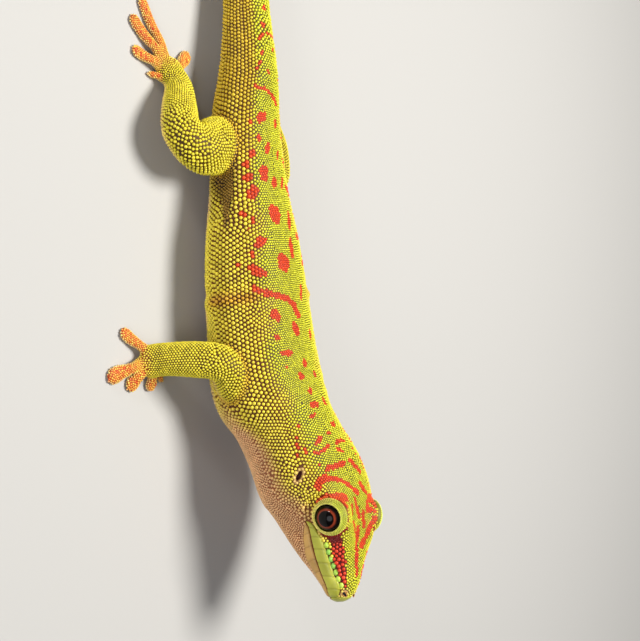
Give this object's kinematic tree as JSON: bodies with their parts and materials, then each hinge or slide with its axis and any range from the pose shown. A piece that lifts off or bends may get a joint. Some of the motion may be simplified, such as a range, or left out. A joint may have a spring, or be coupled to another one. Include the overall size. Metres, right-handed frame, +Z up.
{
  "type": "giant day gecko",
  "caption": "Life-size giant day gecko standing still with its head raised: granular green skin with red marks, broad toe pads and a long tail laid along the floor.",
  "frame": {"origin": "on the floor under the middle of the box round the whole animal", "axes": "+X along the back towards the snout, +Y to the animal's left, +Z up from the floor"},
  "size_m": [0.2564, 0.0718, 0.0387],
  "materials": {
    "skin": "satin granular scales, yellow-green with red marks",
    "tail_skin": "satin ringed scales, orange-yellow to green",
    "foot_skin": "satin fine scales, orange toes",
    "eye": "wet gloss, dark brown with a black pupil"
  },
  "bodies": {
    "root": {"head": "skin", "neck": "skin", "torso": "skin", "upper_arm_right": "skin", "forearm_right": "skin", "upper_arm_left": "skin", "forearm_left": "skin", "thigh_right": "skin", "shank_right": "skin", "thigh_left": "skin", "shank_left": "skin", "tail_base": "tail_skin", "tail_middle": "tail_skin", "tail_tip": "tail_skin", "hand_right": "foot_skin", "hand_left": "foot_skin", "foot_right": "foot_skin", "foot_left": "foot_skin", "eye_right": "eye", "eye_left": "eye"}
  },
  "joints": []
}
